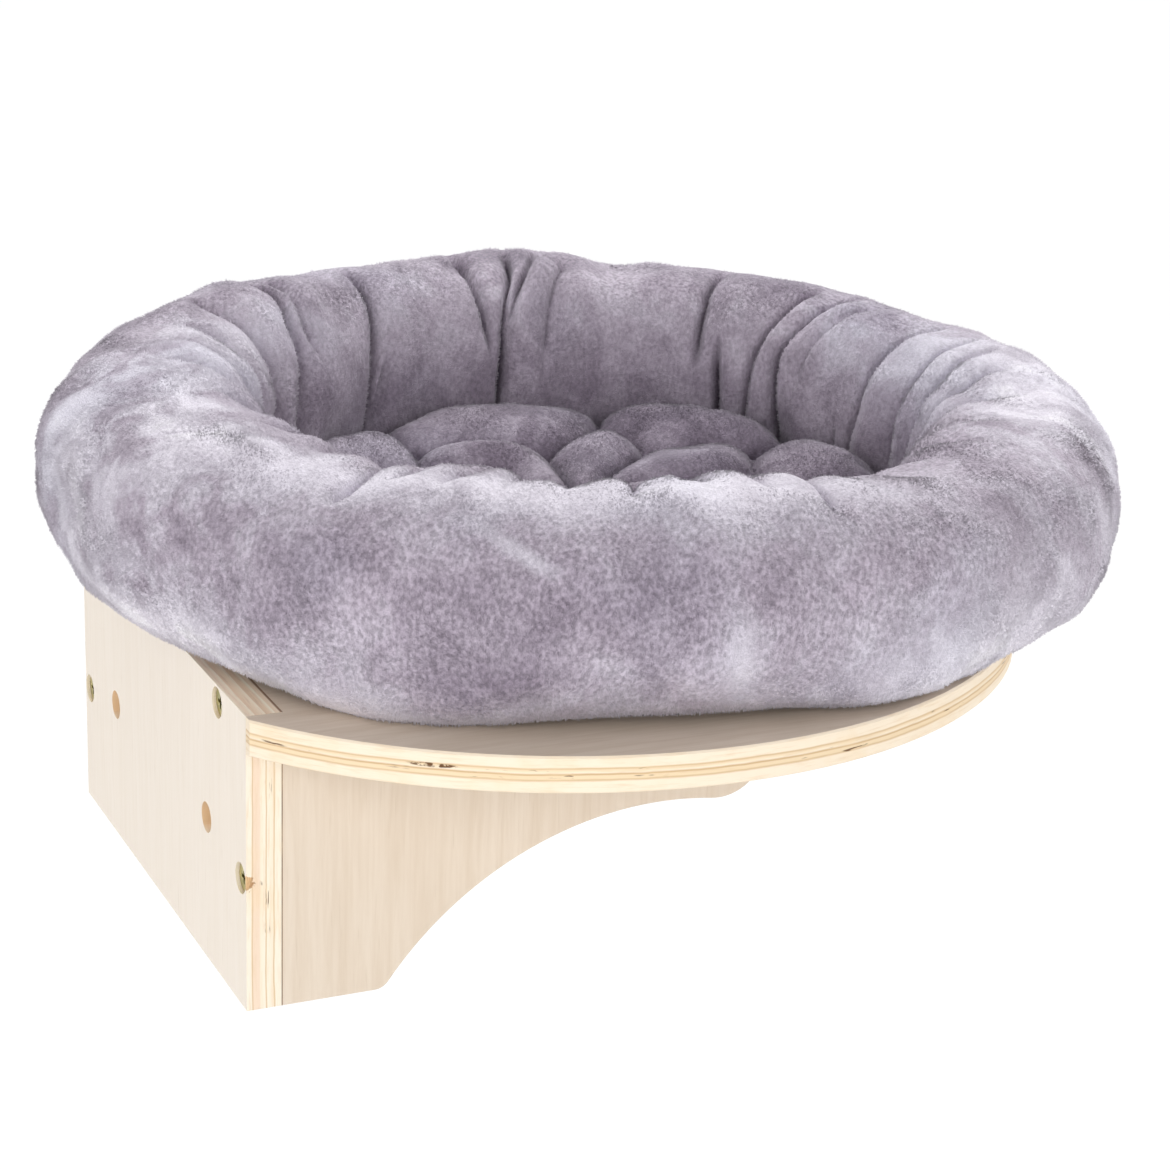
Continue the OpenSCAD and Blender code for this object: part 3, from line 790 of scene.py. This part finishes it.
def floor_mesh(top):
    """The floor's top closed by its middle, a flat underside and the underside's middle."""
    rows, n = top.shape[:2]
    low = RIM_BASE - UNDER_DROP
    under = top[-1] * np.array([UNDER_SHARE, UNDER_SHARE, 0]) + np.array([0, 0, low])
    points = np.concatenate([top.reshape(-1, 3), under, [top[0].mean(0)], [[0, 0, low]]])
    ring = np.arange(n)
    top_fan = fan(len(points) - 2, ring)
    low_fan = fan(len(points) - 1, rows * n + ring)[:, [0, 2, 1]]
    return points, grid_quads(rows + 1, n), np.concatenate([top_fan, low_fan])


def floor_normals(top):
    out = np.roll(top, -1, 0) - np.roll(top, 1, 0)
    out[0], out[-1] = top[1] - top[0], top[-1] - top[-2]
    return unit(np.cross(out, np.roll(top, -1, 1) - np.roll(top, 1, 1)))


# Looks of the bed

# Tones of the plush by level
PLUSH_TONES = [
    (-0.4, rgb(102, 91, 106)), (0.0, rgb(145, 133, 148)), (0.35, rgb(187, 176, 190)),
    (0.65, rgb(213, 206, 218)), (1.0, rgb(241, 235, 246)), (1.25, rgb(252, 248, 255)),
]
LOWEST_LEVEL, HIGHEST_LEVEL = PLUSH_TONES[0][0], PLUSH_TONES[-1][0]
# The pile's usual level, the reach of mottling and of brushed patches, and a step of paleness
USUAL_LEVEL, MOTTLE_REACH, PATCH_REACH, PALE_STEP = 0.37, 0.45, 0.16, 0.6
# Scales of patches and flecks, and the share of its lightness by which flecks differ
PATCH_SCALES, FLECK_SCALES, FLECK_SHARE = (42.0, 42.0, 30.0), (560.0, 560.0, 380.0), 0.2
# Tint of the cooler patches, and an offset that keeps their noise apart
COOL_TINT, COOL_OFFSET = (0.96, 1.0, 1.02), (3.0, 1.0, 2.0)
SHEEN_TINT = (0.96, 0.94, 1.0, 1)
CLOTH_DEPTH = 0.0012

# Marks on the rim, partly brushed nap and partly painted highlights and painted shade: paleness, middle and
# spread round the bed, middle and spread round the tube
PALE_MARKS = [
    (0.42, 246, 30, 40, 70), (1.15, 203, 16, -35, 28), (0.45, 86, 20, 25, 50), (1.15, 112, 28, -48, 24),
    (0.85, 62, 20, 112, 36), (0.5, -92, 24, 112, 36), (0.75, 171.5, 2.2, -18, 26), (0.35, 158, 3.5, -23, 10),
    (0.3, 154, 4, -40, 10), (0.5, 128, 11, -58, 9), (0.15, 168, 12, 84, 22), (0.9, -31, 6, 66, 22),
    (-0.6, 147, 13, -32, 17), (-0.8, 214, 24, 88, 28), (-0.35, 232, 6, 52, 28), (-0.25, 118, 16, 0, 40),
    (-0.5, 158, 34, 8, 30),
]
# A slanting painted highlight, and its degrees round the bed per degree round the tube
SLANTED_PALE, SLANTED_HIGHLIGHT, SLANT = 0.75, (156.2, 1.7, 33, 19), 0.235
# The rim's near side, and bands of painted light along it, strongest on its crest and weak on its lower edge:
# paleness, middle and spread round the tube
NEAR_SIDE = (68, 26, 285, 30)
NEAR_BANDS = [(1.1, 84, 25), (0.1, -58, 18), (0.2, 10, 50)]
# Painted shade along the crest all round, which the near side's crest band outweighs
FAR_CREST_PALE = -0.4
# Shade of the inner wall and its foot: amount, start and fade round the tube
INNER_SHADES = [(0.1, 125, 40), (0.25, 152, 30)]
# Painted shade in the folds' deep lines, where the pile is also pressed, and the depths over which it darkens
FOLD_SHADE, SHADED_DEPTHS = 1.15, (7, 6)
# Calmness of the pile where it is pale, inside and at the end by the wall, and at most
PALE_CALM, INNER_CALM, END_CALM, MOST_CALM = 0.75, 0.45, 0.4, 0.8
CALM_PALENESS, CALM_INSIDE, CALM_END = (-0.1, 0.8), (110, 30), (95, 28)
# Evenness of the tone: in general, on the smooth near side and inside, and unevenness at the ends
RIM_EVEN, NEAR_EVEN, INNER_EVEN, END_UNEVEN = 0.5, 0.2, 0.15, 0.5
SMOOTH_SIDE = (112, 20, 228, 22)
SMOOTH_CREST, SMOOTH_CREST_SHARE = (88, 22), 0.5
OUTSIDE_END, OUTSIDE_FADE = 125, 25
# The uneven ends: amount, middle and spread round the bed
UNEVEN_ENDS = [(1.0, 88, 26), (0.6, 250, 28)]
# The floor's paleness, low partly for its nap and partly as painted shade of the nest, its drop away from the
# wall, and the painted shade in its creases
FLOOR_PALE, FLOOR_PALE_DROP, FLOOR_PALE_REACH = -0.46, 0.3, 60
CREASE_SHADE, CREASE_SHADE_TOP, CREASE_SHADE_OVER = 0.7, 44, 14
FLOOR_CALM, FLOOR_EVEN = 0.45, 0.5

# Pile: tufts per square millimetre, length, width, angle to the cloth and depth of the roots
PILE_DENSITY, PILE_LENGTH, PILE_WIDTH = 1.3, 1.8, 0.7
PILE_LIFT, ROOT_SUNK = 52.0, 0.5
FLOOR_LENGTH_SHARE = 0.75
FLOOR_NAP = (-0.8, 0.6, 0.0)
# Flatter pile on the crest: degrees, and middle and spread round the tube
CREST_LIFT_DROP, CREST = 28.0, (92, 38)
# The part of the rim with pile, and its thinning inside, in the folds and on the far crest
PILE_FROM, PILE_TO = -80, 225
INSIDE_THINNING, INSIDE = 0.2, (120, 50)
FOLD_THINNING, THINNED_DEPTHS = 0.8, (8, 5)
FAR_THINNING, FAR_TURN, FAR_FADE, FAR_CREST = 0.7, 25, 0.4, (72, 22)
# Swirls of the pile in radians and waves of its lift in degrees: size, seed, lengths; random spreads
SWIRLS, SWIRL_SPREAD = [(0.75, SEED + 11, (30, 70)), (0.35, SEED + 12, (9, 20))], 0.3
LIFTS, LIFT_SPREAD, LIFT_LIMITS = [(12, SEED + 13, (25, 60))], 12, (15, 85)
LENGTH_SHARES, WIDTH_SHARES = (0.7, 1.25), (0.7, 1.3)
# Spread of a tuft's shading normals from the cloth's
NORMAL_SPREAD = 0.25
RIM_PILE_SEED, FLOOR_PILE_SEED = SEED + 8, SEED + 10
PILE_PER_PIECE = 45000
# A tuft: three corners at its root and a tip
TUFT_TRIANGLES = np.array([[0, 1, 3], [1, 2, 3], [2, 0, 3], [2, 1, 0]])
TUFT_TIPS = [0.0, 0.0, 0.0, 1.0]
# A tuft's places on the OFBake map, and the map's free edge
BAKE_MAP = "OFBake"
TUFT_ON_MAP = 0.0022 * np.array([[-1.0, 0.0], [0.0, 0.3], [1.0, 0.0], [0.0, 2.2]])
MAP_EDGE = 0.008

BASE_TONES = rgba(92, 86, 96), rgba(120, 113, 124)
WEAVE_SCALES, WEAVE_DEPTH = ((1500, 300, 300), (300, 1500, 300)), 0.0005


def plush_tone(nodes, place, fine):
    """Lilac-grey tones: mottled where the nap lies differently, and paler or darker by the pale attribute,
    which holds brushed nap together with painted highlights and painted shade.
    """
    broad = nodes.noise(place, 10.0, 2.0, 0.5, 0.5)
    patchy = nodes.noise(place, PATCH_SCALES, 3.0, 0.6, 0.6)
    mottle = nodes.weighted((broad, 0.4), (patchy, 0.4), (fine, 0.2))
    mottle = nodes.span(mottle, 0.33, 0.67, -MOTTLE_REACH, MOTTLE_REACH)
    brushed = nodes.span(patchy, 0.42, 0.58, -PATCH_REACH, PATCH_REACH)
    uneven = nodes.math("SUBTRACT", 1.0, nodes.attribute("even"))
    varied = nodes.product(nodes.math("ADD", mottle, brushed), uneven)
    paleness = nodes.product(nodes.attribute("pale"), PALE_STEP)
    level = nodes.math("ADD", nodes.math("ADD", varied, USUAL_LEVEL), paleness)
    levels = HIGHEST_LEVEL - LOWEST_LEVEL
    stops = [((stop - LOWEST_LEVEL) / levels, colour) for stop, colour in PLUSH_TONES]
    tone = nodes.ramp(nodes.span(level, LOWEST_LEVEL, HIGHEST_LEVEL), stops)
    cool = nodes.span(nodes.noise(nodes.vector("ADD", place, COOL_OFFSET), 9.0), 0.5, 0.7, 0.0, 0.7)
    return nodes.mix(cool, tone, nodes.vector("MULTIPLY", tone, COOL_TINT))


def plush(name, pile):
    """Short plush: its pile, which is darker at the root, or the cloth under it; both darkenings are painted
    shade among the tufts.
    """
    material, nodes, shader = new_material(name)
    place = nodes.place()
    fine = nodes.noise(place, 140.0, 3.0, 0.6, 0.3)
    fleck = nodes.noise(place, FLECK_SCALES, 2.0, 0.5)
    fleck = nodes.span(fleck, 0.36, 0.64, -FLECK_SHARE, FLECK_SHARE)
    fleck = nodes.product(fleck, nodes.math("SUBTRACT", 1.0, nodes.attribute("calm")))
    if pile:
        shade = nodes.product(nodes.attribute("shade"), 0.1)
        # Darker towards the root: painted shade among the tufts
        light = nodes.math("ADD", nodes.span(nodes.attribute("tip"), 0.0, 1.0, 0.8, 1.0), shade)
    else:
        # The cloth about as dark as the roots: painted shade under the tufts
        light = nodes.span(nodes.noise(place, 700.0, 2.0), 0.3, 0.7, 0.74, 0.88)
        nodes.fill(shader, {"Normal": nodes.bump(nodes.noise(place, 900.0, 3.0), 0.5, CLOTH_DEPTH)})
    colour = nodes.times(plush_tone(nodes, place, fine), nodes.math("ADD", light, fleck))
    nodes.fill(shader, {"Base Color": colour, "Roughness": nodes.span(fine, 0.3, 0.7, 0.78, 0.95),
                        "Specular IOR Level": 0.15, "Sheen Weight": 0.35, "Sheen Roughness": 0.45,
                        "Sheen Tint": SHEEN_TINT})
    return material


def base_weave():
    """Plain woven cloth."""
    material, nodes, shader = new_material("base_cloth")
    place = nodes.place()
    weave = nodes.product(*(nodes.noise(place, s) for s in WEAVE_SCALES))
    tone = nodes.mix(nodes.span(weave, 0.15, 0.35), *BASE_TONES)
    nodes.fill(shader, {"Base Color": tone, "Roughness": 0.85, "Normal": nodes.bump(weave, 0.4, WEAVE_DEPTH)})
    return material


def rim_paleness(t, g, depths):
    """Where the rim's pile is paler or darker than usual: brushed nap and painted highlights, and painted
    shade on the crest, inside and in the folds.
    """
    near = between(t, *NEAR_SIDE)
    pale = FAR_CREST_PALE * bump_at(g, *NEAR_BANDS[0][1:])
    for amount, *band in NEAR_BANDS:
        pale = pale + amount * near * bump_at(g, *band)
    for amount, *mark in PALE_MARKS:
        pale = pale + amount * patch_at(t, g, *mark)
    pale = pale + SLANTED_PALE * patch_at(t + SLANT * g, g, *SLANTED_HIGHLIGHT)
    for amount, *shade in INNER_SHADES:
        pale = pale - amount * rise_from(g, *shade)
    return pale - FOLD_SHADE * rise_from(depths, *SHADED_DEPTHS)


def rim_calmness(t, g, pale):
    """How little the pile is flecked: where it is brushed flat, inside, and at the end by the wall."""
    calm = PALE_CALM * rise_from(pale, *CALM_PALENESS) + INNER_CALM * rise_from(g, *CALM_INSIDE)
    return np.clip(calm + END_CALM * bump_at(t, *CALM_END), 0, MOST_CALM)


def rim_evenness(t, g):
    """How little the rim's tone varies: least at its brushed ends, most on its smooth near side."""
    outside = smooth_step((OUTSIDE_END - g) / OUTSIDE_FADE)
    ends = sum(amount * bump_at(t, *end) for amount, *end in UNEVEN_ENDS)
    near = between(t, *SMOOTH_SIDE) * (1 - SMOOTH_CREST_SHARE * bump_at(g, *SMOOTH_CREST))
    even = RIM_EVEN + NEAR_EVEN * near + INNER_EVEN * (1 - outside) - END_UNEVEN * ends * outside
    return np.clip(even, 0, 1)


def floor_looks(points):
    """Paleness, calmness and evenness of the floor: darker away from the wall, with painted shade in the nest
    and in its creases.
    """
    pale = FLOOR_PALE - FLOOR_PALE_DROP * smooth_step(-points[:, 1] / FLOOR_PALE_REACH)
    pale = pale - CREASE_SHADE * smooth_step((CREASE_SHADE_TOP - points[:, 2]) / CREASE_SHADE_OVER)
    return {"pale": pale, "calm": np.full(len(points), FLOOR_CALM), "even": np.full(len(points), FLOOR_EVEN)}


def set_values(mesh, values_by_name):
    for name, values in values_by_name.items():
        attribute = mesh.attributes.new(name, "FLOAT", "POINT")
        attribute.data.foreach_set("value", values.astype(np.float32).ravel())


# A surface that pile grows on: its quads and their shares of the pile, and at its points the normals, the
# ways that the pile lies, its lifts in degrees, its rows across the surface and its looks
Ground = namedtuple("Ground", "points quads shares normals naps lifts rows looks")


def grow_tufts(ground, length, rng):
    """Tapered tufts over a surface: corners, shading normals, shades, angles and rows, and looks."""
    points, quads = ground.points, ground.quads
    a, b, c, d = (points[quads[:, k]] for k in range(4))
    areas = np.linalg.norm(np.cross(c - a, d - b), axis=1) / 2 * ground.shares
    count = int(areas.sum() * PILE_DENSITY)
    chosen = np.searchsorted(np.cumsum(areas) / areas.sum(), rng.random(count))
    u, v = rng.random(count)[:, None], rng.random(count)[:, None]

    def mixed(values):
        first, second, third, fourth = (values[quads[chosen, k]] for k in range(4))
        return first * (1 - u) * (1 - v) + second * u * (1 - v) + third * u * v + fourth * (1 - u) * v

    def mixed_values(values):
        return mixed(values[:, None])[:, 0]

    root, normal, nap = mixed(points), unit(mixed(ground.normals)), mixed(ground.naps)
    nap = unit(nap - normal * np.sum(nap * normal, 1, keepdims=True))
    side = np.cross(normal, nap)
    swirl = (ripples(root, SWIRLS) + rng.normal(0, SWIRL_SPREAD, count))[:, None]
    lift = mixed_values(ground.lifts) + ripples(root, LIFTS) + rng.normal(0, LIFT_SPREAD, count)
    lift = np.radians(np.clip(lift, *LIFT_LIMITS))[:, None]
    way = (nap * np.cos(swirl) + side * np.sin(swirl)) * np.cos(lift) + normal * np.sin(lift)
    long = (length * rng.uniform(*LENGTH_SHARES, count))[:, None]
    across = unit(np.cross(way, normal))
    behind = np.cross(way, across)
    half = PILE_WIDTH / 2 * rng.uniform(*WIDTH_SHARES, count)[:, None]
    outward = [across * math.cos(x) + behind * math.sin(x) for x in (0, math.tau / 3, 2 * math.tau / 3)]
    sunk = root - normal * ROOT_SUNK
    corners = np.stack([*(sunk + half * way_out for way_out in outward), sunk + way * long], 1)
    normals = unit(np.stack([normal + NORMAL_SPREAD * way_out for way_out in (*outward, way)], 1))
    shades = rng.uniform(-1, 1, count)
    spots = np.stack([np.arctan2(root[:, 1], root[:, 0]), mixed_values(ground.rows)], -1)
    looks = {look: mixed_values(values) for look, values in ground.looks.items()}
    return corners, normals, shades, spots, looks


def map_tufts(mesh, spots, triangles):
    """Lays the tufts out on the OFBake map, as they lie on the bed."""
    spots = MAP_EDGE + (1 - 2 * MAP_EDGE) * (spots - spots.min(0)) / np.ptp(spots, axis=0)
    spots = (spots[:, None] + TUFT_ON_MAP).reshape(-1, 2)
    layer = mesh.uv_layers.new(name=BAKE_MAP, do_init=False)
    layer.uv.foreach_set("vector", spots[triangles.ravel()].astype(np.float32).ravel())


def add_pile(name, seed, ground, length, material):
    """Pile over a surface, in pieces of up to PILE_PER_PIECE tufts that follow each other round the bed."""
    corners, normals, shades, spots, looks = grow_tufts(ground, length, np.random.default_rng(seed))
    order = np.argsort(spots[:, 0], kind="stable")
    for k, part in enumerate(np.array_split(order, math.ceil(len(order) / PILE_PER_PIECE))):
        triangles = (TUFT_TRIANGLES + 4 * np.arange(len(part))[:, None, None]).reshape(-1, 3)
        piece = new_object(f"{name}_{k + 1}", corners[part].reshape(-1, 3), triangles)
        piece.data.normals_split_custom_set_from_vertices(normals[part].reshape(-1, 3).tolist())
        map_tufts(piece.data, spots[part], triangles)
        set_values(piece.data, {"tip": np.tile(TUFT_TIPS, len(part)), "shade": np.repeat(shades[part], 4)})
        set_values(piece.data, {look: np.repeat(values[part], 4) for look, values in looks.items()})
        piece.data.materials.append(material)
        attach(piece, "bed")


def rim_pile_shares(t, g, depths, quads):
    """Each rim quad's share of the pile: none underneath, less inside, in folds and on the far crest."""
    face_t, face_g = t[quads[:, 0]], g[quads[:, 0]]
    shown = ((face_g > PILE_FROM) & (face_g < PILE_TO)).astype(float)
    inside = rise_from(face_g, *INSIDE)
    folded = rise_from(depths[quads].mean(1), *THINNED_DEPTHS)
    far = smooth_step(np.cos(np.radians(face_t + FAR_TURN)) / FAR_FADE)
    far_crest = far * bump_at(face_g, *FAR_CREST)
    shares = shown * (1 - INSIDE_THINNING * inside) * (1 - FOLD_THINNING * folded)
    return shares * (1 - FAR_THINNING * far_crest)


def add_rim():
    grid, grid_t, grid_g = rim_grid()
    normals, across = (values.reshape(-1, 3) for values in rim_frames(grid))
    points, t, g = grid.reshape(-1, 3), grid_t.reshape(-1), grid_g.reshape(-1)
    quads = grid_quads(RIM_STATIONS, RIM_ROWS, closed=True)
    piece = new_object("rim", points, quads)
    depths = fold_depths(t, g)
    pale = rim_paleness(t, g, depths)
    looks = {"pale": pale, "calm": rim_calmness(t, g, pale), "even": rim_evenness(t, g)}
    set_values(piece.data, looks)
    piece.data.materials.append(plush("plush_rim", False))
    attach(piece, "bed")
    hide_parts("rim_cover", "rim_filling")
    lifts = PILE_LIFT - CREST_LIFT_DROP * bump_at(g, *CREST)
    shares = rim_pile_shares(t, g, depths, quads)
    ground = Ground(points, quads, shares, normals, -across, lifts, g, looks)
    add_pile("rim_pile", RIM_PILE_SEED, ground, PILE_LENGTH, plush("plush_rim_pile", True))
    return grid, grid_t


def add_floor_cushion(rim, rim_t):
    top = floor_grid(rim, rim_t)
    points, quads, fans = floor_mesh(top)
    piece = new_object("floor_cushion", points, quads, fans)
    looks = floor_looks(points)
    set_values(piece.data, looks)
    piece.data.materials.append(plush("plush_floor", False))
    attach(piece, "bed")
    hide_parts("floor_cover", "floor_filling")
    rows, n = top.shape[:2]
    count = rows * n
    top_quads = grid_quads(rows, n)
    top_looks = {look: values[:count] for look, values in looks.items()}
    naps = np.broadcast_to(np.array(FLOOR_NAP), (count, 3))
    normals = floor_normals(top).reshape(-1, 3)
    ground = Ground(points[:count], top_quads, np.ones(len(top_quads)), normals, naps,
                    np.full(count, PILE_LIFT), np.repeat(np.arange(rows), n), top_looks)
    material = plush("plush_floor_pile", True)
    add_pile("floor_pile", FLOOR_PILE_SEED, ground, PILE_LENGTH * FLOOR_LENGTH_SHARE, material)


def add_base():
    """Cloth that closes the bed underneath."""
    low, high = (np.array(corner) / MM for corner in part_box("base_cloth"))
    half = (high - low) / 2
    turn = np.radians(stations(BASE_STATIONS))
    q, a = np.meshgrid(np.linspace(BASE_FIRST_SHARE, 1, BASE_RINGS), turn, indexing="ij")
    level = np.full_like(q, high[2] - SHELF_TOP - BASE_GAP)
    sheet = np.stack([q * half[0] * np.cos(a), q * half[1] * np.sin(a), level], -1)
    sheet[..., 2] -= BASE_SAG * np.abs(Ripples(BASE_SEED, BASE_WAVES)(sheet)).clip(0, 1)
    points = np.concatenate([sheet.reshape(-1, 3), [sheet[0].mean(0)]])
    middle = fan(len(points) - 1, np.arange(BASE_STATIONS))
    piece = new_object("base_cloth_sheet", points, grid_quads(BASE_RINGS, BASE_STATIONS), middle)
    thick = piece.modifiers.new("thickness", "SOLIDIFY")
    thick.thickness = BASE_THICKNESS * MM
    thick.offset = -1
    piece.data.materials.append(base_weave())
    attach(piece, "bed")
    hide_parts("base_cloth")


add_camera()
add_floor()
add_world()
add_softboxes()
dress_wall_board()
dress_shelf()
dress_brackets()
dress_fasteners()
add_floor_cushion(*add_rim())
add_base()
bpy.context.scene.view_settings.view_transform = "Standard"
